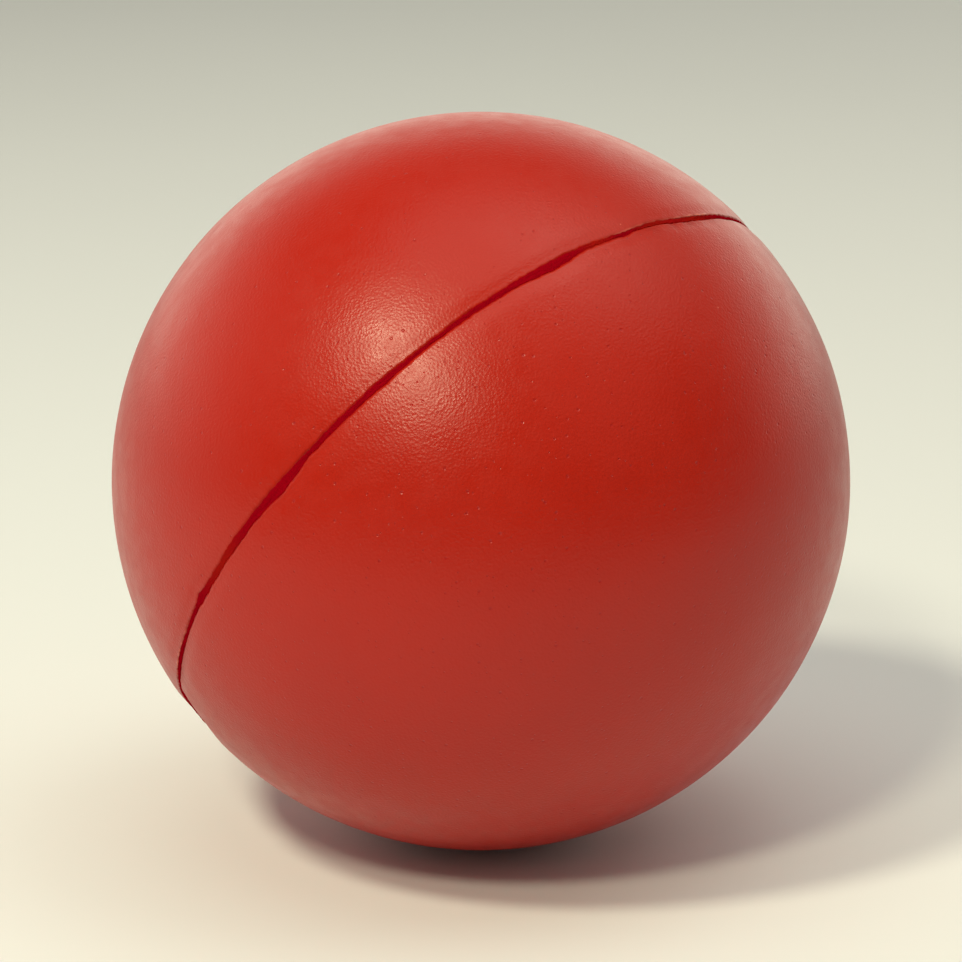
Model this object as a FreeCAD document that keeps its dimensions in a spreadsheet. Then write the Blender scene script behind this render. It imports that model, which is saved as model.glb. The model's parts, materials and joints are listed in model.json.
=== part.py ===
import FreeCAD, Part

import math
import os

import Sketcher

# A moulded foam stress ball. It is cast in a mould of two halves, so everything outside the
# foam core comes as an upper and a lower half that meet at the parting plane. Each half is one
# profile turned about the local Z axis, and the parting plane is the local XY plane. The ball
# lies on its side: the pole of the upper half leans away from straight up.

# ---- driving dimensions, in millimetres and degrees ---------------------------------------
DIMENSIONS = [
    ("ball_radius", 35.0, "outside of the coat"),
    ("coat_thickness", 0.2, "flexible paint film over the skin"),
    ("skin_thickness", 2.0, "dense skin that forms against the cold mould"),
    ("core_clearance", 0.1, "gap between the core and the halves that slide over it"),
    ("groove_half_gap", 0.28, "from the parting plane to the foot of each rounded edge"),
    ("shoulder_radius", 0.9, "rounded edge on each side of the groove"),
    ("groove_depth", 0.6, "from the ball's surface to the trimmed rim of the flash"),
    ("coat_lip_depth", 1.0, "from the ball's surface to the end of the coat beside the flash"),
    ("flash_clearance", 0.05, "gap between the flash and the halves beside it"),
    ("pole_tilt", 52.7, "from straight up to the upper half's pole"),
    ("pole_heading", 139.7, "compass direction in which that pole leans, from +X"),
]
SIZES = {name: value for name, value, meaning in DIMENSIONS}

doc = FreeCAD.newDocument("stress_ball")
sheet = doc.addObject("Spreadsheet::Sheet", "dims")
for row, (name, value, meaning) in enumerate(DIMENSIONS, start=1):
    sheet.set(f"A{row}", name)
    sheet.set(f"B{row}", str(value))
    sheet.set(f"C{row}", meaning)
    sheet.setAlias(f"B{row}", name)
doc.recompute()

# ---- the numbers that the sketches start from ---------------------------------------------
ball = SIZES["ball_radius"]
coat_inside = ball - SIZES["coat_thickness"]
skin_inside = coat_inside - SIZES["skin_thickness"]
core_radius = skin_inside - SIZES["core_clearance"]
wall_height = SIZES["groove_half_gap"]
coated_height = wall_height + SIZES["coat_thickness"]
shoulder = SIZES["shoulder_radius"]
coat_lip = ball - SIZES["coat_lip_depth"]
shoulder_y = wall_height + shoulder
shoulder_x = math.sqrt((ball - shoulder) ** 2 - shoulder_y**2)
shoulder_angle = math.atan2(shoulder_y, shoulder_x)
skin_rim_x = math.sqrt(skin_inside**2 - coated_height**2)
web_half = coated_height - SIZES["flash_clearance"]
web_radius = coat_lip - SIZES["flash_clearance"]
neck_half = wall_height - SIZES["flash_clearance"]
rim_radius = ball - SIZES["groove_depth"]

# The same numbers as formulas of the sheet, for the sketches' dimensions.
COAT_INSIDE = "(dims.ball_radius - dims.coat_thickness)"
SKIN_INSIDE = f"({COAT_INSIDE} - dims.skin_thickness)"
CORE_RADIUS = f"({SKIN_INSIDE} - dims.core_clearance)"
COATED_HEIGHT = "(dims.groove_half_gap + dims.coat_thickness)"
COAT_LIP = "(dims.ball_radius - dims.coat_lip_depth)"
RIM_RADIUS = "dims.ball_radius - dims.groove_depth"
NECK_HALF = "dims.groove_half_gap - dims.flash_clearance"

# A sketch's own origin and vertical axis, and the two ends and the centre of an edge.
ORIGIN = (-1, 1)
VERTICAL_AXIS = -2
START, END, CENTRE = 1, 2, 3
HORIZONTAL_AXIS = -1
UP = math.pi / 2


def point(x, y):
    return FreeCAD.Vector(x, y, 0)


def arc(centre, radius, first_angle, last_angle):
    circle = Part.Circle(centre, FreeCAD.Vector(0, 0, 1), radius)
    return Part.ArcOfCircle(circle, first_angle, last_angle)


def line(first, last):
    return Part.LineSegment(first, last)


def profile_body(label, edges, rules, dimensions):
    """A body whose one sketch, in the XZ plane, is turned about Z. Rules are geometric
    constraints; dimensions are (constraint type, its references, start value, name, formula)."""
    body = doc.addObject("PartDesign::Body", label)
    body.Label = label
    sketch = body.newObject("Sketcher::SketchObject", f"{label}_profile")
    xz_plane = next(item for item in body.Origin.OriginFeatures if item.Role == "XZ_Plane")
    sketch.AttachmentSupport = [(xz_plane, "")]
    sketch.MapMode = "FlatFace"
    sketch.addGeometry(edges, False)
    for kind, *references in rules:
        sketch.addConstraint(Sketcher.Constraint(kind, *references))
    for kind, references, value, name, formula in dimensions:
        index = sketch.addConstraint(Sketcher.Constraint(kind, *references, value))
        sketch.renameConstraint(index, name)
        sketch.setExpression(f"Constraints.{name}", formula)
    turned = body.newObject("PartDesign::Revolution", f"{label}_turned")
    turned.Profile = sketch
    turned.ReferenceAxis = (sketch, ["V_Axis"])
    turned.Angle = 360
    sketch.Visibility = False
    return body


def lean(item, turned_over=False):
    """Puts a piece in the ball, with its local Z on the line through the two poles. The lower
    half is the same shape turned over about the level axis that the tilt turns about."""
    angle = "dims.pole_tilt + 180" if turned_over else "dims.pole_tilt"
    level_axis = "vector(-sin(dims.pole_heading); cos(dims.pole_heading); 0)"
    centre = "vector(0; 0; dims.ball_radius)"
    item.setExpression("Placement", f"placement({centre}; rotation({level_axis}; {angle}))")


# ---- the pieces -----------------------------------------------------------------------------
def coat(label):
    """The paint film on one half: over the ball, round the shoulder and into the groove."""
    centre = point(0, 0)
    shoulder_centre = point(shoulder_x, shoulder_y)
    film = SIZES["coat_thickness"]
    edges = [
        arc(centre, ball, shoulder_angle, UP),
        arc(shoulder_centre, shoulder, -UP, shoulder_angle),
        line(point(shoulder_x, wall_height), point(coat_lip, wall_height)),
        line(point(coat_lip, wall_height), point(coat_lip, coated_height)),
        line(point(coat_lip, coated_height), point(shoulder_x, coated_height)),
        arc(shoulder_centre, shoulder - film, -UP, shoulder_angle),
        arc(centre, coat_inside, shoulder_angle, UP),
        line(point(0, coat_inside), point(0, ball)),
    ]
    outer, round_edge, wall, lip, wall_back, round_back, inner, axis = range(len(edges))
    rules = [
        ("Coincident", outer, CENTRE, *ORIGIN),
        ("Coincident", inner, CENTRE, *ORIGIN),
        ("Coincident", round_back, CENTRE, round_edge, CENTRE),
        ("Tangent", outer, START, round_edge, END),
        ("Tangent", round_edge, START, wall, START),
        ("Horizontal", wall),
        ("Coincident", wall, END, lip, START),
        ("Vertical", lip),
        ("Coincident", lip, END, wall_back, START),
        ("Horizontal", wall_back),
        ("Tangent", wall_back, END, round_back, START),
        ("Tangent", round_back, END, inner, START),
        ("Coincident", inner, END, axis, START),
        ("PointOnObject", axis, START, VERTICAL_AXIS),
        ("Vertical", axis),
        ("Coincident", axis, END, outer, END),
    ]
    dimensions = [
        ("Radius", (outer,), ball, "outside", "dims.ball_radius"),
        ("Radius", (inner,), coat_inside, "inside", COAT_INSIDE),
        ("Radius", (round_edge,), shoulder, "shoulder", "dims.shoulder_radius"),
        ("DistanceY", (*ORIGIN, wall, START), wall_height, "wall_height", "dims.groove_half_gap"),
        ("DistanceX", (*ORIGIN, lip, START), coat_lip, "lip_radius", COAT_LIP),
    ]
    return profile_body(label, edges, rules, dimensions)


def skin(label):
    """The dense skin of one half, between the coat and the core."""
    centre = point(0, 0)
    film = SIZES["coat_thickness"]
    rim_angle = math.atan2(coated_height, skin_rim_x)
    edges = [
        arc(centre, coat_inside, shoulder_angle, UP),
        arc(point(shoulder_x, shoulder_y), shoulder - film, -UP, shoulder_angle),
        line(point(shoulder_x, coated_height), point(skin_rim_x, coated_height)),
        arc(centre, skin_inside, rim_angle, UP),
        line(point(0, skin_inside), point(0, coat_inside)),
    ]
    outer, round_edge, rim, inner, axis = range(len(edges))
    rules = [
        ("Coincident", outer, CENTRE, *ORIGIN),
        ("Coincident", inner, CENTRE, *ORIGIN),
        ("Tangent", outer, START, round_edge, END),
        ("Tangent", round_edge, START, rim, START),
        ("Horizontal", rim),
        ("Coincident", rim, END, inner, START),
        ("Coincident", inner, END, axis, START),
        ("PointOnObject", axis, START, VERTICAL_AXIS),
        ("Vertical", axis),
        ("Coincident", axis, END, outer, END),
    ]
    shoulder_back = "dims.shoulder_radius - dims.coat_thickness"
    dimensions = [
        ("Radius", (outer,), coat_inside, "outside", COAT_INSIDE),
        ("Radius", (inner,), skin_inside, "inside", SKIN_INSIDE),
        ("Radius", (round_edge,), shoulder - film, "shoulder", shoulder_back),
        ("DistanceY", (*ORIGIN, rim, START), coated_height, "rim_height", COATED_HEIGHT),
    ]
    return profile_body(label, edges, rules, dimensions)


def flash(label):
    """The web of foam that squeezed between the mould halves. It is keyed under the ends of the
    coat, lies on the core, and its trimmed neck is the floor of the parting groove."""
    half_angle = math.asin(web_half / core_radius)
    core_x = core_radius * math.cos(half_angle)
    edges = [
        arc(point(0, 0), core_radius, -half_angle, half_angle),
        line(point(core_x, web_half), point(web_radius, web_half)),
        line(point(web_radius, web_half), point(web_radius, neck_half)),
        line(point(web_radius, neck_half), point(rim_radius, neck_half)),
        line(point(rim_radius, neck_half), point(rim_radius, -neck_half)),
        line(point(rim_radius, -neck_half), point(web_radius, -neck_half)),
        line(point(web_radius, -neck_half), point(web_radius, -web_half)),
        line(point(web_radius, -web_half), point(core_x, -web_half)),
    ]
    inner, top, top_step, top_neck, rim, bottom_neck, bottom_step, bottom = range(len(edges))
    rules = [
        ("Coincident", inner, CENTRE, *ORIGIN),
        ("Coincident", inner, END, top, START),
        ("Coincident", bottom, END, inner, START),
        ("Symmetric", rim, START, rim, END, HORIZONTAL_AXIS),
        ("Symmetric", top, END, bottom, START, HORIZONTAL_AXIS),
        ("Vertical", top_step),
        ("Vertical", bottom_step),
    ]
    rules += [("Coincident", edge, END, edge + 1, START) for edge in range(top, bottom)]
    rules += [("Horizontal", edge) for edge in (top, top_neck, bottom_neck, bottom)]
    clear = "dims.flash_clearance"
    dimensions = [
        ("Radius", (inner,), core_radius, "inside", CORE_RADIUS),
        ("DistanceX", (*ORIGIN, top, END), web_radius, "web_radius", f"{COAT_LIP} - {clear}"),
        ("DistanceY", (*ORIGIN, top, END), web_half, "web_half", f"{COATED_HEIGHT} - {clear}"),
        ("DistanceX", (*ORIGIN, rim, START), rim_radius, "rim_radius", RIM_RADIUS),
        ("DistanceY", (*ORIGIN, rim, START), neck_half, "neck_half", NECK_HALF),
    ]
    return profile_body(label, edges, rules, dimensions)


def core(label):
    """The solid ball of open-cell foam inside the skin."""
    ball_of_foam = doc.addObject("Part::Sphere", label)
    ball_of_foam.Label = label
    ball_of_foam.setExpression("Radius", CORE_RADIUS)
    return ball_of_foam


foam_core = core("foam_core")
parting_flash = flash("parting_flash")
upper_skin = skin("upper_skin")
lower_skin = skin("lower_skin")
upper_coat = coat("upper_coat")
lower_coat = coat("lower_coat")

for piece in (foam_core, parting_flash, upper_skin, upper_coat):
    lean(piece)
for piece in (lower_skin, lower_coat):
    lean(piece, turned_over=True)

doc.recompute()

# ---- check and write ------------------------------------------------------------------------
PIECES = [foam_core, parting_flash, upper_skin, lower_skin, upper_coat, lower_coat]
for item in doc.Objects:
    if "Invalid" in item.State or "Error" in item.State:
        raise RuntimeError(f"{item.Name} failed: {item.State}")
for piece in PIECES:
    if piece.Shape.isNull() or not piece.Shape.isValid() or len(piece.Shape.Solids) != 1:
        raise RuntimeError(f"{piece.Label} is not one valid solid")

os.makedirs("parts", exist_ok=True)
for piece in PIECES:
    piece.Shape.exportStep(f"parts/{piece.Label}.step")
    box = piece.Shape.optimalBoundingBox(False)
    corners = (box.XMin, box.YMin, box.ZMin, box.XMax, box.YMax, box.ZMax)
    volume = piece.Shape.Volume / 1000
    print(piece.Label, f"{volume:.2f} cm3", [round(value, 2) for value in corners])
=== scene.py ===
import json
import math

import bmesh
import bpy
import numpy as np
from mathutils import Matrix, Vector, noise


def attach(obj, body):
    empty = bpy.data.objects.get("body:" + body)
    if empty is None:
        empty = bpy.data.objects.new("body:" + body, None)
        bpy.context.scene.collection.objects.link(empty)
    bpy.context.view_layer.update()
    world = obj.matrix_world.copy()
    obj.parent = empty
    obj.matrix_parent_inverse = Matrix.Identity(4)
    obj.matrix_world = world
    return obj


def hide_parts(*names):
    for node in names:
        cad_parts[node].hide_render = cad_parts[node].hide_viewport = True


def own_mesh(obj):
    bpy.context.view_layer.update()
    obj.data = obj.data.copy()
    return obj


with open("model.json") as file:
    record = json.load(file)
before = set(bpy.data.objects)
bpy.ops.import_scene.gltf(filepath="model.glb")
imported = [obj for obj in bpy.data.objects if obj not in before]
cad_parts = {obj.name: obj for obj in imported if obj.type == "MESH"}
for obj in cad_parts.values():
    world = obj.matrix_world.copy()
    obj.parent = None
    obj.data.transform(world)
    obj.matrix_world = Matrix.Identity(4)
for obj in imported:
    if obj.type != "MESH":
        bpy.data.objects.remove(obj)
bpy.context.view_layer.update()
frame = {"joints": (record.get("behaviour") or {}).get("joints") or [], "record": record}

# A moulded foam stress ball: a satin coat in two halves, with a crimson parting groove between
# them, over a skin of dense foam and a core of open foam. Lengths are metres, and the shape of
# the surface is worked out in millimetres. Angles round the groove are in degrees from the
# point of the groove that faces the camera, positive towards its upper right end.

MM = 0.001
record = frame["record"]
BALL = record["size"]["bbox_m"][2] / 2 / MM
CENTRE = Vector((0, 0, BALL * MM))
SQUEEZE = next(j for j in frame["joints"] if j["name"] == "squeeze_lower")
POLE = Vector(SQUEEZE["axis"]).normalized()

# ---- camera ---------------------------------------------------------------------------------
CAMERA_ELEVATION = math.radians(15)
CAMERA_DISTANCE = 10 * BALL * MM
LENS = 137.5
TO_CAMERA = Vector((0, -math.cos(CAMERA_ELEVATION), math.sin(CAMERA_ELEVATION)))


def camera():
    lens = bpy.data.cameras.new("camera")
    lens.lens = LENS
    lens.sensor_width = 36
    lens.clip_start = 0.01
    eye = bpy.data.objects.new("camera", lens)
    eye.location = CENTRE + TO_CAMERA * CAMERA_DISTANCE
    eye.rotation_mode = "QUATERNION"
    eye.rotation_quaternion = (-TO_CAMERA).to_track_quat("-Z", "Y")
    bpy.context.scene.collection.objects.link(eye)
    bpy.context.scene.camera = eye


# ---- the groove -----------------------------------------------------------------------------
# These five repeat the CAD model's section.
COAT_FILM = 0.2
SKIN_THICKNESS = 2.0
CORE_CLEARANCE = 0.1
FLASH_CLEARANCE = 0.05
COAT_LIP = BALL - 1.0

# The rest is how the groove really came out. Each wall stands some way from the parting plane,
# and the coat dips towards the groove and turns over a rounded edge. In all of it a side is 1
# for the upper half and -1 for the lower half.
WALL_OFFSET = {1: 0.28, -1: -0.03}
LEAST_GAP = 0.12
SHOULDER = {1: 0.3, -1: 0.45}
EDGE_DIP = 0.12
EDGE_DIP_WIDTH = 0.75
SKIN_GAP = 0.02

# The web was torn off at a slant, so the floor is deepest beside the lower half. The floor goes
# at most the given share of a rounded edge's radius up it, and bites a little into it.
RIM_BESIDE_UPPER = BALL - EDGE_DIP - 0.05
RIM_BESIDE_LOWER = BALL - EDGE_DIP - 0.2
HIGHEST_RIM = 0.85
WEB_BITE = 0.05
FLOOR_RINGS = 10
FLOOR_SLANT = 1.3
KEY_STEP = 0.02

FACING = (TO_CAMERA - POLE * TO_CAMERA.dot(POLE)).normalized()
SIDEWAYS = POLE.cross(FACING)

# A wave is random unevenness along the groove: its height, how many knots it has in a full turn,
# and its seed.
WALL_WAVES = [(0.03, 60, 3), (0.03, 260, 11), (0.04, 700, 15)]
WANDER = (0.03, 24, 7)
SHOULDER_WAVE = (0.12, 40, 21)
FLOOR_WAVES = [(0.05, 700, 62), (0.05, 230, 80)]
FLOOR_WANDER = (0.05, 90, 61)

# How much of the floor's waves there is beside the upper half and beside the lower half.
FLOOR_RAGGED = (0.3, 0.9)

# A feature is where it lies along the groove, how far it reaches each way, in degrees, and how
# much it moves that half's wall away from the parting plane, in millimetres. Nicks are pointed,
# swells are smooth, and the tear is a steep-sided patch of the lower half.
NICKS = {
    1: [(-47.8, 1.4, 0.24), (31.5, 2, 0.05)],
    -1: [(-23.3, 6.5, 0.42), (-1.2, 1.2, 0.08), (43, 2.2, 0.24)],
}
SWELLS = {
    1: [(-82, 16, 0.4), (-53, 7, -0.12), (-41, 6, -0.07), (-25, 9, 0.06), (-2.5, 5, 0.06),
        (7.5, 4.5, -0.04), (15, 4, 0.08), (42, 11, -0.22), (58, 14, -0.29), (84, 16, 0.45)],
    -1: [(-72, 22, -0.5), (-54, 9, -0.22), (-33, 16, 0.12), (10, 13, -0.1), (29, 6.5, 0.31),
         (58, 12, 0.25), (80, 13, -0.4)],
}
TEAR = (-85, 9.5, 2.9)
UNSEEN_PLACES = (105, 140, 180, 220, 255)
UNSEEN_NICKS = (40, 0.1, 0.4)
UNSEEN_SWELLS = (50, -0.2, 0.3)

# The same for a lip's height on the upper half. Stretches without a size are where paint has
# run over the web, and where the lower half stands back.
LIPS = [(-63, 13, 0.1), (45, 8, 0.06), (62, 15, 0.1), (140, 9, 0.08), (205, 14, 0.1)]
LIP_PLACE = 0.32
LIP_WIDTH = 0.09
FULL_LIP = 0.1
PAINTED = [(-40, 9), (38, 5), (50, 7), (60, 9), (128, 14), (196, 9)]
RECESSED = [(57, 21), (-66, 14), (150, 20)]
RECESS_WIDTH = 1.4
RECESS_DEPTH = 0.1

# A band of painted shade, darker red, on each rounded edge, which tones down the light on the edge.
EDGE_SHADE_STRENGTH = 0.7
EDGE_SHADE_START = 0.3
EDGE_SHADE_WIDTH = 0.2

# The pucker: a pinch in the groove from which fine creases fan out. A crease is how far it leans
# and how far it runs.
PUCKER = -47.5
PUCKER_REACH = 3
PUCKER_ROUNDING = 0.12
CREASES = [(-0.77, 2.2), (-0.35, 1.6), (0.035, 2.4), (0.42, 1.7), (0.84, 2.1)]
CREASE_DEPTH = 0.09
CREASE_WIDTH = 0.13
CREASE_START = 0.4


def ring_noise(angle, knots, seed):
    """Smooth random values from -1 to 1 along the groove, which join up after a full turn."""
    values = np.random.default_rng(seed).uniform(-1, 1, knots)
    place = (angle / 360 * knots) % knots
    left = np.floor(place).astype(int)
    share = place - left
    share = share * share * (3 - 2 * share)
    return values[left % knots] * (1 - share) + values[(left + 1) % knots] * share


def waves(angle, rows, step=0):
    """The sum of some waves. Step picks other random values for the same waves."""
    return sum(size * ring_noise(angle, knots, seed + step) for size, knots, seed in rows)


def reach(angle, middle, half_width):
    """0 at a feature's middle, 1 at its ends and more beyond."""
    return np.abs((angle - middle + 180) % 360 - 180) / half_width


def nick(angle, middle, half_width):
    """A pointed dent, 1 in the middle."""
    return np.clip(1 - reach(angle, middle, half_width), 0, 1)


def swell(angle, middle, half_width):
    """A smooth hump, 1 in the middle."""
    return np.cos(np.clip(reach(angle, middle, half_width), 0, 1) * math.pi / 2) ** 2


def tear(angle, middle, half_width):
    """A steep-sided patch, 1 over its middle half."""
    return np.clip(2 * (1 - reach(angle, middle, half_width)), 0, 1)


def unseen_features(seed, least, most):
    """Nicks or swells on the far side of the ball, which are like the ones in front."""
    dice = np.random.default_rng(seed)
    places = [a + dice.uniform(-12, 12) for a in UNSEEN_PLACES]
    return [(a, dice.uniform(1.5, 7), dice.uniform(least, most)) for a in places]


def all_features(side, listed, unseen):
    """The listed features of one half's wall and its unseen ones."""
    seed, least, most = unseen
    return listed[side] + unseen_features(seed + side, least, most)


def wall_height(side, angle):
    """From the parting plane to the groove's wall, in millimetres. Side is 1 for the upper half
    and -1 for the lower half."""
    height = WALL_OFFSET[side] + waves(angle, WALL_WAVES, side)
    height = height + side * waves(angle, [WANDER])
    for middle, half_width, size in all_features(side, NICKS, UNSEEN_NICKS):
        height = height + size * nick(angle, middle, half_width)
    for middle, half_width, size in all_features(side, SWELLS, UNSEEN_SWELLS):
        height = height + size * swell(angle, middle, half_width)
    if side < 0:
        middle, half_width, size = TEAR
        height = height + size * tear(angle, middle, half_width)
    return height


def walls(angle):
    """Both walls' heights, kept a little apart."""
    upper, lower = wall_height(1, angle), wall_height(-1, angle)
    short = np.maximum(LEAST_GAP - (upper + lower), 0) / 2
    return {1: upper + short, -1: lower + short}


def shoulder_radius(side, angle):
    """The rounded edge of the groove, in millimetres."""
    radius = SHOULDER[side] * (1 + waves(angle, [SHOULDER_WAVE], side))
    return radius + PUCKER_ROUNDING * swell(angle, PUCKER, PUCKER_REACH)


def shoulder_start(side, angle):
    """The centre of the rounded edge: its distance from the pole axis before the dip, and its
    height above the parting plane, with the edge's radius."""
    edge = shoulder_radius(side, angle)
    height = walls(angle)[side] + edge
    return np.sqrt((BALL - edge) ** 2 - height**2), height, edge


# ---- one half's surface ---------------------------------------------------------------------
def world_points(angle, radius, height):
    """Points from their angle round the groove, distance from the pole axis and height."""
    turn = np.radians(angle)
    outwards = np.outer(np.cos(turn), FACING) + np.outer(np.sin(turn), SIDEWAYS)
    local = outwards * np.asarray(radius).reshape(-1, 1) + np.outer(height, POLE)
    return local + np.array(CENTRE) / MM


def section(side, angle, zone, share, depth, foot):
    """One ring of a half's surface: distance from the pole axis, height above the parting plane,
    the outward normal in that plane, and how far along the section it lies. Depth is how far
    under the outside the ring is, and foot the radius where the groove's wall starts."""
    edge_radius, edge_height, edge = shoulder_start(side, angle)
    top = np.arctan2(edge_height, edge_radius)
    dip = EDGE_DIP * max(0.0, 1 - depth / SKIN_THICKNESS)
    if zone == "wall":
        radius = foot + (edge_radius - dip - foot) * share
        still = np.zeros_like(angle)
        height = edge_height - edge + depth
        return radius, height, still, still - 1, radius + dip - edge_radius
    if zone == "shoulder":
        slope = -math.pi / 2 + (top + math.pi / 2) * share
        radius = edge_radius - dip + (edge - depth) * np.cos(slope)
        height = edge_height + (edge - depth) * np.sin(slope)
        return radius, height, np.cos(slope), np.sin(slope), edge * (slope + math.pi / 2)
    latitude = top + (math.pi / 2 - top) * share
    past = BALL * (latitude - top)
    along = edge * (top + math.pi / 2) + past
    reached = BALL - depth - dip * np.exp(-((past / EDGE_DIP_WIDTH) ** 2))
    out, up = np.cos(latitude), np.sin(latitude)
    return reached * out, reached * up, out, up, along


# Soft unevenness of a surface: its height, how far across its features are, and its seed.
COAT_LUMPS = [(0.03, 9, 5), (0.006, 1.6, 9)]
EDGE_LUMPS = [(0.02, 0.5, 13)]
SKIN_LUMPS = [(0.05, 1.3, 17)]
ROUGH_EDGE_WIDTH = 1.2


def lumps(points, rows):
    """The sum of some unevenness at each point, in millimetres."""
    total = np.zeros(len(points))
    for size, spread, seed in rows:
        shift = Vector((seed, seed * 1.7, -seed))
        total = total + [size * noise.noise(Vector(p) / spread + shift) for p in points]
    return total


def band(distance, width):
    """1 at no distance, and fading smoothly to 0 past the width."""
    return np.exp(-((distance / width) ** 2))


def lip_height(side, angle, along):
    """A thin raised lip on the edge of the upper half, where the flash was torn away."""
    if side < 0:
        return np.zeros_like(angle)
    size = sum(height * swell(angle, middle, wide) for middle, wide, height in LIPS)
    ragged = 0.6 + 0.4 * ring_noise(angle, 500, 31)
    return size * ragged * band(along - LIP_PLACE, LIP_WIDTH)


def recess(side, angle, along):
    """Where the lower half stands back beside the groove, 1 at its edge and 0 further off."""
    if side > 0:
        return np.zeros_like(angle)
    stretch = sum(swell(angle, middle, half_width) for middle, half_width in RECESSED)
    uneven = 0.75 + 0.25 * ring_noise(angle, 200, 35)
    return stretch * uneven * band(np.maximum(along, 0), RECESS_WIDTH)


def painted_shade_share(side, angle, along):
    """Where the coat is painted darker and has less shine: painted shade in the recess beside
    the groove, and in a thin band on each rounded edge."""
    edge_shade = EDGE_SHADE_STRENGTH * band(np.maximum(along - EDGE_SHADE_START, 0), EDGE_SHADE_WIDTH)
    return np.maximum(recess(side, angle, along), edge_shade)


def creases(side, angle, along):
    """Fine folds that fan out on both sides of the pucker in the groove."""
    across = np.radians(angle - PUCKER) * BALL
    depth = np.zeros_like(angle)
    for lean, length in CREASES:
        fade = np.clip(1 - along / length, 0, 1) * np.clip(along / CREASE_START, 0, 1)
        depth = depth + fade * band(across - lean * along, CREASE_WIDTH)
    return CREASE_DEPTH * depth * (reach(angle, PUCKER, 4 * PUCKER_REACH) < 1)


def ring(side, columns, zone, share, depth, foot=COAT_LIP, detail=False):
    """The points of one ring of a half's surface, and for each point how far along the section
    it lies and its angle."""
    angle = np.arange(columns) * 360 / columns
    radius, height, out, up, along = section(side, angle, zone, share, depth, foot)
    points = world_points(angle, radius, side * height)
    if not detail:
        return points, along, angle
    lift = lumps(points, COAT_LUMPS) + lip_height(side, angle, along)
    lift = lift - creases(side, angle, along)
    if zone != "wall":
        lift = lift - RECESS_DEPTH * recess(side, angle, along)
    near_edge = np.clip(1 - np.abs(along) / ROUGH_EDGE_WIDTH, 0, 1)
    lift = lift + near_edge * lumps(points, EDGE_LUMPS)
    moved = world_points(angle, radius + lift * out, side * (height + lift * up))
    return moved, along, angle


# ---- meshes ---------------------------------------------------------------------------------
def faces_between(first, first_count, second, second_count):
    """Faces between two closed rings of vertices, given by where each starts. A ring has as many
    points as its neighbour, twice as many or half as many."""
    if first_count == second_count:
        for i in range(first_count):
            j = (i + 1) % first_count
            yield first + i, first + j, second + j, second + i
    elif first_count == 2 * second_count:
        for i in range(second_count):
            j = (i + 1) % second_count
            a, b, c = first + 2 * i, first + 2 * i + 1, first + 2 * j
            yield a, b, second + i
            yield b, second + j, second + i
            yield b, c, second + j
    else:
        for face in faces_between(second, second_count, first, first_count):
            yield tuple(reversed(face))


def closed_mesh(name, rings, first_pole=None, last_pole=None):
    """A piece over a list of rings. It is closed with a point at each end, or joins its last
    ring to its first where no end points are given."""
    points = np.concatenate(rings)
    starts = np.cumsum([0] + [len(r) for r in rings]).tolist()
    last = len(rings) - 1
    pairs = list(zip(range(last), range(1, last + 1)))
    if first_pole is None:
        pairs.append((last, 0))
    faces = []
    for a, b in pairs:
        faces.extend(faces_between(starts[a], len(rings[a]), starts[b], len(rings[b])))
    if first_pole is not None:
        faces.extend((len(points), b, a) for a, b in around(starts[0], len(rings[0])))
        faces.extend((len(points) + 1, a, b) for a, b in around(starts[last], len(rings[last])))
        points = np.concatenate([points, [first_pole, last_pole]])
    mesh = bpy.data.meshes.new(name)
    mesh.from_pydata((points * MM).tolist(), [], faces)
    mesh.update()
    if signed_volume(mesh) < 0:
        mesh.flip_normals()
    return finished_piece(name, mesh, points)


def around(start, count):
    """Each point of a closed ring with the next one."""
    return [(start + i, start + (i + 1) % count) for i in range(count)]


def finished_piece(name, mesh, points):
    """The mesh as a smooth piece that remembers where its points lie at rest."""
    mesh.shade_smooth()
    store(mesh, "rest_mm", "FLOAT_VECTOR", "vector", points)
    piece = bpy.data.objects.new(name, mesh)
    bpy.context.scene.collection.objects.link(piece)
    return piece


def signed_volume(mesh):
    """Positive where the faces look outwards."""
    mesh.calc_loop_triangles()
    corners = np.empty(len(mesh.loop_triangles) * 3, np.int32)
    mesh.loop_triangles.foreach_get("vertices", corners)
    places = np.empty(len(mesh.vertices) * 3)
    mesh.vertices.foreach_get("co", places)
    a, b, c = places.reshape(-1, 3)[corners.reshape(-1, 3)].transpose(1, 0, 2)
    return float(np.einsum("ij,ij->i", a, np.cross(b, c)).sum())


def store(mesh, name, kind, field, values):
    """Keeps a value for each vertex, which the materials read."""
    layer = mesh.attributes.new(name, kind, "POINT")
    layer.data.foreach_set(field, np.asarray(values, np.float32).ravel())


# Points in a ring at the groove. Further off a ring has a half, a quarter or an eighth as many.
FINE = 1440
POLE_DISTANCE = BALL * math.pi / 2
LAST_RING = POLE_DISTANCE - 2

# Stretches of even rings over the round part of a half: from and to, in millimetres past the
# shoulder, the step, and by how much the number of points is divided.
OUTSIDE_STRETCHES = [
    (0, 2.4, 0.2, 1),
    (2.4, 14, 0.45, 2),
    (14, 30, 0.7, 4),
    (30, LAST_RING, 0.9, 8),
]
FILM_INSIDE_STRETCHES = [(0, LAST_RING, 1.6, 8)]
SKIN_OUTSIDE_STRETCHES = [(0, 20, 0.9, 4), (20, LAST_RING, 1.2, 8)]
SKIN_INSIDE_STRETCHES = [(-0.4, 2, 1.2, 2), (2, 20, 0.7, 4), (20, LAST_RING, 0.9, 8)]


def ball_rows(stretches):
    """Zone, share of the way to the pole and number of points of each ring of some stretches."""
    rows = []
    for first, last, step, divider in stretches:
        count = max(1, round((last - first) / step))
        for i in range(count):
            share = (first + (last - first) * (i + 1) / count) / POLE_DISTANCE
            rows.append(("ball", share, FINE // divider))
    return rows


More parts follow.
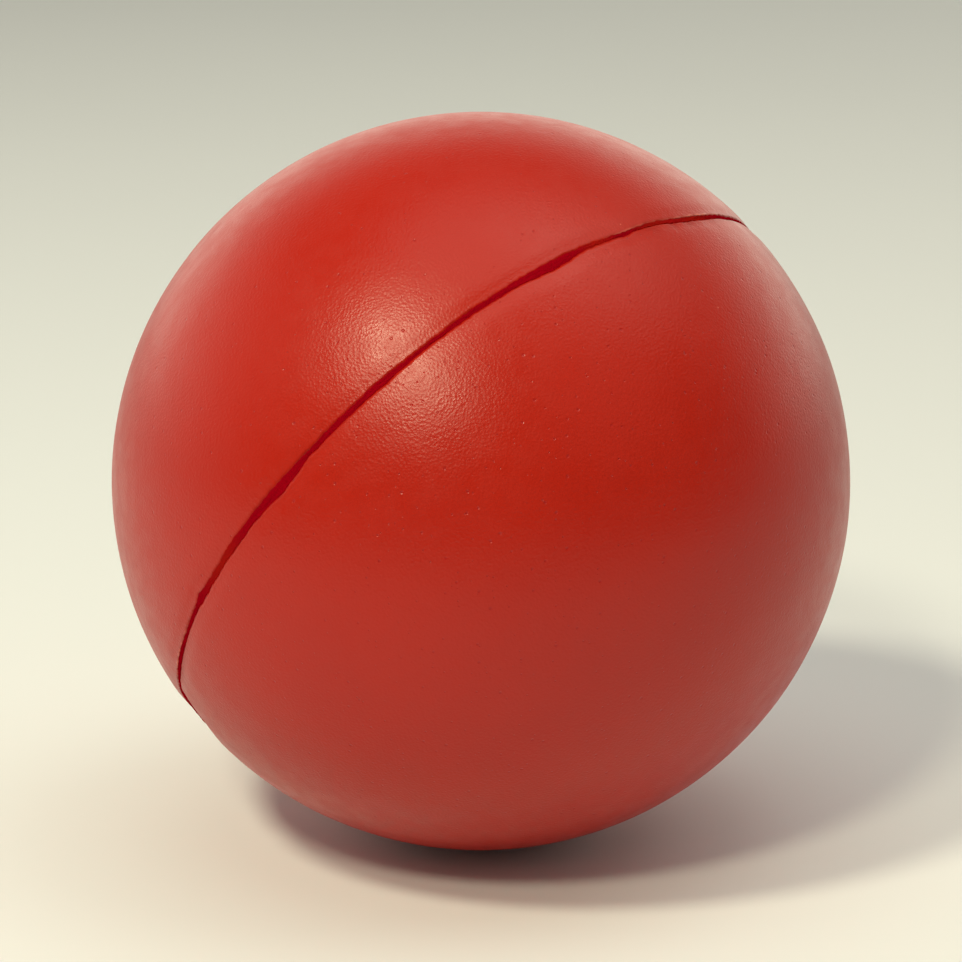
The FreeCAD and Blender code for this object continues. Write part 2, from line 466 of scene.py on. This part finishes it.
def outside_rows():
    """The rings of a coat's outside, from the foot of the groove's wall to near the pole."""
    rows = [("wall", share, FINE) for share in (0, 0.5)]
    rows += [("shoulder", i / 16, FINE) for i in range(17)]
    return rows + ball_rows(OUTSIDE_STRETCHES)


def inside_rows():
    """The same for the coat's hidden inside, with fewer rings."""
    rows = [("wall", 0, FINE), ("wall", 0.9, FINE // 2)]
    rows += [("shoulder", 0.4, FINE // 4), ("shoulder", 0.8, FINE // 8)]
    return rows + ball_rows(FILM_INSIDE_STRETCHES)


def pole_point(side, depth):
    """The point of a half on the pole axis, at a depth under the outside."""
    return np.array(CENTRE) / MM + np.array(POLE) * side * (BALL - depth)


def coat_film(side, name):
    """The paint on one half: a closed film that turns over the shoulder into the groove."""
    rings = [
        ring(side, columns, zone, share, 0, detail=True)
        for zone, share, columns in reversed(outside_rows())
    ]
    rings += [
        ring(side, columns, zone, share, COAT_FILM) for zone, share, columns in inside_rows()
    ]
    points, along, angle = zip(*rings)
    piece = closed_mesh(name, points, pole_point(side, 0), pole_point(side, COAT_FILM))
    along = np.concatenate([*along, [POLE_DISTANCE] * 2])
    angle = np.concatenate([*angle, [0, 0]])
    # The lip's pale pink is partly worn paint and partly a painted highlight.
    lip_sheen_and_wear = lip_height(side, angle, along) / FULL_LIP
    store(piece.data, "lip_sheen_and_wear", "FLOAT", "value", np.clip(lip_sheen_and_wear, 0, 1))
    # The painted shade: darker red with less shine in the recess and on the rounded edges.
    store(piece.data, "painted_shade", "FLOAT", "value", np.clip(painted_shade_share(side, angle, along), 0, 1))
    return piece


def skin_foam(side, name):
    """The dense skin of one half: it fills the coat and ends in a rim beside the web."""
    outside = COAT_FILM + SKIN_GAP
    inside = COAT_FILM + SKIN_THICKNESS
    foot = BALL - inside
    outer_rows = [("wall", share, FINE // 2) for share in (0, 0.35, 0.7)]
    outer_rows += [("shoulder", i / 4, FINE // 2) for i in range(5)]
    outer_rows += ball_rows(SKIN_OUTSIDE_STRETCHES)
    rings = []
    for zone, share, columns in reversed(outer_rows):
        rings.append(ring(side, columns, zone, share, outside, foot)[0])
    for zone, share, columns in ball_rows(SKIN_INSIDE_STRETCHES):
        points = ring(side, columns, zone, share, inside, foot)[0]
        rings.append(pushed_out(points, lumps(points, SKIN_LUMPS)))
    return closed_mesh(name, rings, pole_point(side, outside), pole_point(side, inside))


def pushed_out(points, lift):
    """Points moved away from the ball's centre."""
    middle = np.array(CENTRE) / MM
    away = points - middle
    return points + away / np.linalg.norm(away, axis=1, keepdims=True) * lift.reshape(-1, 1)


def floor_edge(side, angle, radius):
    """Where the torn floor meets a rounded edge: its distance from the pole axis, which is at
    most the one given, and from the parting plane."""
    edge_radius, edge_height, edge = shoulder_start(side, angle)
    edge_radius = edge_radius - EDGE_DIP
    radius = np.minimum(radius, edge_radius + HIGHEST_RIM * edge)
    out = np.maximum(radius - edge_radius, 0)
    return radius, edge_height - np.sqrt(edge**2 - out**2)


def flash_web(name):
    """The web of foam in the parting plane. It is keyed under the coat's edges, and its torn
    rim is the groove's rough floor, which bites a little into both rounded edges."""
    angle = np.arange(FINE) * 360 / FINE
    under_coat = COAT_FILM - FLASH_CLEARANCE
    key_path = [
        (CORE_RADIUS, under_coat),
        (COAT_LIP - FLASH_CLEARANCE, under_coat),
        (COAT_LIP + KEY_STEP, -FLASH_CLEARANCE),
    ]

    def key(side):
        return [
            world_points(angle, np.full(FINE, radius), side * (walls(angle)[side] + past_wall))
            for radius, past_wall in key_path
        ]

    upper_rim, top = floor_edge(1, angle, RIM_BESIDE_UPPER)
    lower_rim, bottom = floor_edge(-1, angle, RIM_BESIDE_LOWER)
    top, bottom = top + WEB_BITE, -bottom - WEB_BITE
    calm, rough = FLOOR_RAGGED
    torn_floor = []
    for i in range(FLOOR_RINGS):
        share = i / (FLOOR_RINGS - 1)
        slant = upper_rim + (lower_rim - upper_rim) * share**FLOOR_SLANT
        ragged = waves(angle, FLOOR_WAVES, i) + waves(angle, [FLOOR_WANDER])
        radius = slant + ragged * (calm + (rough - calm) * share)
        torn_floor.append(world_points(angle, radius, top + (bottom - top) * share))
    rings = key(1) + torn_floor + key(-1)[::-1]
    piece = closed_mesh(name, rings)
    painted = sum(swell(angle, middle, half_width) for middle, half_width in PAINTED)
    store(piece.data, "painted", "FLOAT", "value", np.tile(painted, len(rings)))
    return piece


# The core's open cells: how far across and how deep they are, and a slow unevenness.
CORE_RADIUS = BALL - COAT_FILM - SKIN_THICKNESS - CORE_CLEARANCE
CELL_SIZE = 1.4
CELL_DEPTH = 0.25
CELL_EDGE = 2.5
CORE_SINK = 0.1
CORE_SINK_SPREAD = 5


def foam_ball(name):
    """The core: a ball of open foam, pitted with cells."""
    shape = bmesh.new()
    bmesh.ops.create_icosphere(shape, subdivisions=7, radius=CORE_RADIUS)
    points = []
    for vertex in shape.verts:
        near, next_near = noise.voronoi(vertex.co / CELL_SIZE)[0][:2]
        cell_wall = min(1.0, (next_near - near) * CELL_EDGE)
        slow = CORE_SINK * (1 + noise.noise(vertex.co / CORE_SINK_SPREAD))
        sink = CELL_DEPTH * cell_wall + slow
        point = CENTRE / MM + vertex.co * (1 - sink / CORE_RADIUS)
        points.append(point)
        vertex.co = point * MM
    mesh = bpy.data.meshes.new(name)
    shape.to_mesh(mesh)
    shape.free()
    return finished_piece(name, mesh, points)


# ---- materials ------------------------------------------------------------------------------
# Colours are linear. Every pattern is laid out in millimetres on the ball at rest.
COAT_RED = (0.43, 0.0105, 0.0014)
COAT_DEEP = (0.40, 0.0085, 0.001)
CRIMSON = (0.31, 0.0005, 0.007)
RUN_RED = (0.32, 0.008, 0.004)
# Painted shade in the recess and on the rounded edges.
RECESS_SHADE_RED = (0.28, 0.0045, 0.002)
# Pale pink of the lip, partly worn paint and partly a painted highlight, and of the specks of dust.
LIP_SHEEN_AND_DUST_PINK = (0.78, 0.22, 0.16)
CORE_PINK = (0.62, 0.09, 0.07)
# Darker tones of the foams, which are also painted into the cell hollows as painted shade.
SKIN_DARK_AND_CELL_SHADE = (0.2, 0.001, 0.006)
TORN_DARK_AND_CELL_SHADE = (0.24, 0.0012, 0.007)
CORE_DARK_AND_CELL_SHADE = (0.45, 0.02, 0.02)
FLOOR_PALE = (0.82, 0.85, 0.90)
FLOOR_COOL = (0.80, 0.83, 0.88)
FLOOR_NEAR = (0.4, 0.4, 0.42)

# The coat: its shine outside the painted shade and where that shade is strongest, its least and
# most roughness, how high its grain is and how deep its pits are in metres, and how strongly each
# mark shows.
COAT_SHINE = (0.36, 0.06)
COAT_ROUGHNESS = (0.31, 0.38)
COAT_GRAIN = 0.000018
PIT_DEPTH = 0.000032
MOTTLING = 0.35
PIT_SHADE_STRENGTH = 0.45
DUST_STRENGTH = 0.5
LIP_SHEEN_STRENGTH = 0.85
RUN_STRENGTH = 0.8

# Pits and specks of dust: millimetres from one place to the next, and the radius of the
# largest. The shares are how many of the places have one.
PITS = (0.95, 0.19)
SMALL_PITS = (0.6, 0.11)
DUST = (4.3, 0.12)
DUST_SHARE = 0.12
PIT_SHARE = {"upper": 0.4, "lower": 0.85}

# Foams: how far across the cells are in millimetres, and how deep they look in metres.
SKIN_CELLS = (0.22, 0.00003)
TORN_CELLS = (0.16, 0.00004)
CORE_CELLS = (0.45, 0.00008)


class Nodes:
    """A material's nodes, with short calls for the kinds used here."""

    def __init__(self, name):
        self.material = bpy.data.materials.new(name)
        self.material.use_nodes = True
        self.tree = self.material.node_tree
        self.shader = self.tree.nodes["Principled BSDF"]

    def add(self, kind, inputs=(), **settings):
        made = self.tree.nodes.new(kind)
        for key, value in settings.items():
            setattr(made, key, value)
        for key, value in dict(inputs).items():
            self.put(made.inputs[key], value)
        return made

    def put(self, socket, value):
        if isinstance(value, bpy.types.NodeSocket):
            self.tree.links.new(value, socket)
        else:
            socket.default_value = value

    def attribute(self, name, output="Fac"):
        return self.add("ShaderNodeAttribute", attribute_name=name).outputs[output]

    def noise(self, scale, detail=2.0, roughness=0.5):
        inputs = {"Vector": self.place, "Scale": scale, "Detail": detail, "Roughness": roughness}
        return self.add("ShaderNodeTexNoise", inputs).outputs["Fac"]

    def cells(self, scale, randomness=1.0):
        inputs = {"Vector": self.place, "Scale": scale, "Randomness": randomness}
        return self.add("ShaderNodeTexVoronoi", inputs)

    def ramp(self, value, low, high, to_low=0.0, to_high=1.0):
        inputs = {0: value, 1: low, 2: high, 3: to_low, 4: to_high}
        made = self.add("ShaderNodeMapRange", inputs, interpolation_type="SMOOTHSTEP")
        return made.outputs[0]

    def maths(self, operation, first, second=0.0):
        made = self.add("ShaderNodeMath", operation=operation)
        self.put(made.inputs[0], first)
        self.put(made.inputs[1], second)
        return made.outputs[0]

    def mix(self, share, first, second):
        made = self.add("ShaderNodeMix", data_type="RGBA")
        self.put(made.inputs["Factor"], share)
        self.put(made.inputs[6], (*first, 1) if isinstance(first, tuple) else first)
        self.put(made.inputs[7], (*second, 1) if isinstance(second, tuple) else second)
        return made.outputs[2]

    def bump(self, height, metres, below=None):
        inputs = {"Height": height, "Distance": metres}
        if below is not None:
            inputs["Normal"] = below
        return self.add("ShaderNodeBump", inputs).outputs["Normal"]


def on_the_ball(name):
    """A material whose patterns stay on the ball when it flattens."""
    nodes = Nodes(name)
    nodes.place = nodes.attribute("rest_mm", "Vector")
    return nodes


def pores(nodes, spacing, largest, share_kept):
    """Scattered round pits: 1 in the middle of each, 0 between them. Spacing and the largest
    radius are millimetres."""
    cells = nodes.cells(1 / spacing, 0.9)
    lot = nodes.add("ShaderNodeSeparateColor", {"Color": cells.outputs["Color"]}).outputs[0]
    size = nodes.ramp(lot, 1 - share_kept, 1, 0, largest / spacing)
    depth = nodes.maths("DIVIDE", cells.outputs["Distance"], nodes.maths("MAXIMUM", size, 1e-4))
    return nodes.ramp(depth, 0.4, 1, 1, 0)


def satin_coat(name, pit_share):
    """Orange-red satin paint with fine pebbled grain, pinholes and faint mottling."""
    nodes = on_the_ball(name)
    mottle = nodes.ramp(nodes.noise(0.09, 3), 0.35, 0.65)
    red = nodes.mix(nodes.maths("MULTIPLY", mottle, MOTTLING), COAT_RED, COAT_DEEP)
    large = pores(nodes, *PITS, pit_share)
    small = pores(nodes, *SMALL_PITS, pit_share)
    pits = nodes.maths("MAXIMUM", large, small)
    # The pits are painted darker crimson: painted shade in the pits, beside their bump.
    red = nodes.mix(nodes.maths("MULTIPLY", pits, PIT_SHADE_STRENGTH), red, CRIMSON)
    dust = nodes.maths("MULTIPLY", pores(nodes, *DUST, DUST_SHARE), DUST_STRENGTH)
    red = nodes.mix(dust, red, LIP_SHEEN_AND_DUST_PINK)
    # Painted shade in the recess and on the rounded edges, unevenly darker red, with less shine.
    painted_shade = nodes.attribute("painted_shade")
    uneven_shade = nodes.ramp(nodes.noise(1.1, 3), 0.35, 0.6, 0.35, 0.95)
    red = nodes.mix(nodes.maths("MULTIPLY", painted_shade, uneven_shade), red, RECESS_SHADE_RED)
    # The lip is painted pale pink: partly worn paint, partly a painted highlight where the light
    # catches it.
    lip_sheen_and_wear = nodes.maths("MULTIPLY", nodes.attribute("lip_sheen_and_wear"), LIP_SHEEN_STRENGTH)
    nodes.put(nodes.shader.inputs["Base Color"], nodes.mix(lip_sheen_and_wear, red, LIP_SHEEN_AND_DUST_PINK))
    satin = nodes.ramp(nodes.noise(0.5, 4), 0.3, 0.7, *COAT_ROUGHNESS)
    nodes.put(nodes.shader.inputs["Roughness"], satin)
    shine = nodes.ramp(painted_shade, 0, 1, *COAT_SHINE)
    nodes.put(nodes.shader.inputs["Specular IOR Level"], shine)
    grain = nodes.maths("ADD", nodes.noise(3.5, 2.5, 0.6), nodes.cells(4.0).outputs["Distance"])
    surface = nodes.bump(grain, COAT_GRAIN)
    surface = nodes.bump(nodes.maths("SUBTRACT", 1, pits), PIT_DEPTH, surface)
    nodes.put(nodes.shader.inputs["Normal"], surface)
    return nodes.material


def foam(name, colour, darker_tone_and_cell_shade, cell, depth):
    """Bare polyurethane foam: matt, with small cells whose walls catch the light. Where a mesh
    has a painted attribute, paint has run over it."""
    nodes = on_the_ball(name)
    cell_walls = nodes.cells(1 / cell).outputs["Distance"]
    tone = nodes.mix(nodes.maths("MULTIPLY", nodes.noise(0.4, 3), 0.5), colour, darker_tone_and_cell_shade)
    # Cell hollows painted darker and cell walls lighter: painted shade and painted light in the
    # cells.
    bare_foam = nodes.mix(nodes.ramp(cell_walls, 0.1, 0.6), darker_tone_and_cell_shade, tone)
    run = nodes.maths("MULTIPLY", nodes.attribute("painted"), RUN_STRENGTH)
    nodes.put(nodes.shader.inputs["Base Color"], nodes.mix(run, bare_foam, RUN_RED))
    nodes.put(nodes.shader.inputs["Roughness"], nodes.ramp(nodes.noise(2, 2), 0.3, 0.7, 0.7, 0.9))
    nodes.put(nodes.shader.inputs["Normal"], nodes.bump(cell_walls, depth))
    nodes.shader.inputs["Specular IOR Level"].default_value = 0.0
    return nodes.material


def studio_floor():
    """Matt, pale and a little uneven, and darker in front of the ball."""
    nodes = Nodes("pale_floor")
    nodes.place = nodes.add("ShaderNodeTexCoord").outputs["Object"]
    tone = nodes.mix(nodes.noise(6, 2), FLOOR_PALE, FLOOR_COOL)
    backwards = nodes.add("ShaderNodeSeparateXYZ", {"Vector": nodes.place}).outputs["Y"]
    tone = nodes.mix(nodes.ramp(backwards, -0.3, -0.04), FLOOR_NEAR, tone)
    nodes.put(nodes.shader.inputs["Base Color"], tone)
    nodes.shader.inputs["Roughness"].default_value = 0.9
    nodes.shader.inputs["Specular IOR Level"].default_value = 0.0
    return nodes.material


# ---- studio ---------------------------------------------------------------------------------
NEUTRAL = (1, 0.96, 0.80)
WARM = (1, 0.93, 0.64)

# Heading and elevation in degrees, heading from the camera's side and positive to the right,
# width in metres, power in watts, and colour.
SOFTBOXES = [
    ("key", -44, 52, 0.12, 3.0, WARM),
    ("key_fill", -22, 42, 0.12, 2.1, WARM),
    ("overhead", 0, 88, 0.7, 1.5, NEUTRAL),
    ("left", -95, 25, 0.7, 0.35, NEUTRAL),
    ("right", 95, 62, 0.6, 1.1, NEUTRAL),
    ("front_right", 46, 36, 0.5, 0.2, NEUTRAL),
    ("back_right", 150, 8, 0.7, 0.3, NEUTRAL),
]
SOFTBOX_DISTANCE = 0.8
FLOOR_HALF = 3.0
AMBIENT = 0.145
BACK_WALL_GLOW = 1.45


def soft_light(name, heading, elevation, width, power, colour):
    """A round softbox aimed at the ball."""
    heading, elevation = math.radians(heading), math.radians(elevation)
    level = math.cos(elevation)
    way = Vector((math.sin(heading) * level, -math.cos(heading) * level, math.sin(elevation)))
    lamp = bpy.data.lights.new(name, "AREA")
    lamp.shape = "DISK"
    lamp.size = width
    lamp.energy = power
    lamp.color = colour
    holder = bpy.data.objects.new(name, lamp)
    holder.location = CENTRE + way * SOFTBOX_DISTANCE
    holder.rotation_mode = "QUATERNION"
    holder.rotation_quaternion = way.to_track_quat("Z", "Y")
    bpy.context.scene.collection.objects.link(holder)


def surroundings():
    """Dim light from all round, and a pale wall behind the ball that is brightest low down."""
    world = bpy.data.worlds.new("studio")
    world.use_nodes = True
    links, nodes = world.node_tree.links, world.node_tree.nodes

    def ramp(value, low, high):
        made = nodes.new("ShaderNodeMapRange")
        made.interpolation_type = "SMOOTHSTEP"
        made.inputs["From Min"].default_value = low
        made.inputs["From Max"].default_value = high
        links.new(value, made.inputs["Value"])
        return made.outputs[0]

    way = nodes.new("ShaderNodeSeparateXYZ")
    links.new(nodes.new("ShaderNodeTexCoord").outputs["Generated"], way.inputs[0])
    both = nodes.new("ShaderNodeMath")
    both.operation = "MULTIPLY"
    links.new(ramp(way.outputs["Y"], -0.1, 0.8), both.inputs[0])
    links.new(ramp(way.outputs["Z"], 0.75, 0.05), both.inputs[1])
    strength = nodes.new("ShaderNodeMath")
    strength.operation = "MULTIPLY_ADD"
    strength.inputs[1].default_value = BACK_WALL_GLOW
    strength.inputs[2].default_value = AMBIENT
    links.new(both.outputs[0], strength.inputs[0])
    links.new(strength.outputs[0], nodes["Background"].inputs["Strength"])
    nodes["Background"].inputs["Color"].default_value = (*NEUTRAL, 1)
    return world


def studio():
    """The floor, the surroundings and the softboxes, which are not part of the ball."""
    mesh = bpy.data.meshes.new("floor")
    corners = [(x * FLOOR_HALF, y * FLOOR_HALF, 0) for x, y in ((-1, -1), (1, -1), (1, 1), (-1, 1))]
    mesh.from_pydata(corners, [], [(0, 1, 2, 3)])
    floor = bpy.data.objects.new("floor", mesh)
    floor.data.materials.append(studio_floor())
    bpy.context.scene.collection.objects.link(floor)
    bpy.context.scene.world = surroundings()
    for softbox in SOFTBOXES:
        soft_light(*softbox)
    bpy.context.scene.view_settings.view_transform = "Standard"


def place(piece, node, body, slot, material, anchor, joint):
    """Puts a piece in for its CAD node: it rides on the body."""
    piece.data.materials.append(material)
    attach(piece, body)
    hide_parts(node)
    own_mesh(piece)


def assemble():
    skin = foam("dense_foam", CRIMSON, SKIN_DARK_AND_CELL_SHADE, *SKIN_CELLS)
    for half, side in (("upper", 1), ("lower", -1)):
        joint = f"squeeze_{half}"
        pole = CENTRE + POLE * side * BALL * MM
        paint = satin_coat(f"satin_coat_{half}", PIT_SHARE[half])
        coat = coat_film(side, f"{half}_coat_film")
        place(coat, f"{half}_coat", f"{half}_half", "coat", paint, pole, joint)
        dense = skin_foam(side, f"{half}_skin_foam")
        place(dense, f"{half}_skin", f"{half}_half", "skin_foam", skin, pole, joint)
    web = flash_web("torn_flash_web")
    torn = foam("torn_foam", CRIMSON, TORN_DARK_AND_CELL_SHADE, *TORN_CELLS)
    place(web, "parting_flash", "core", "flash_foam", torn, CENTRE, "squeeze_upper")
    core = foam_ball("cellular_foam_core")
    open_foam = foam("open_foam", CORE_PINK, CORE_DARK_AND_CELL_SHADE, *CORE_CELLS)
    place(core, "foam_core", "core", "core_foam", open_foam, CENTRE, "squeeze_upper")


camera()
studio()
assemble()
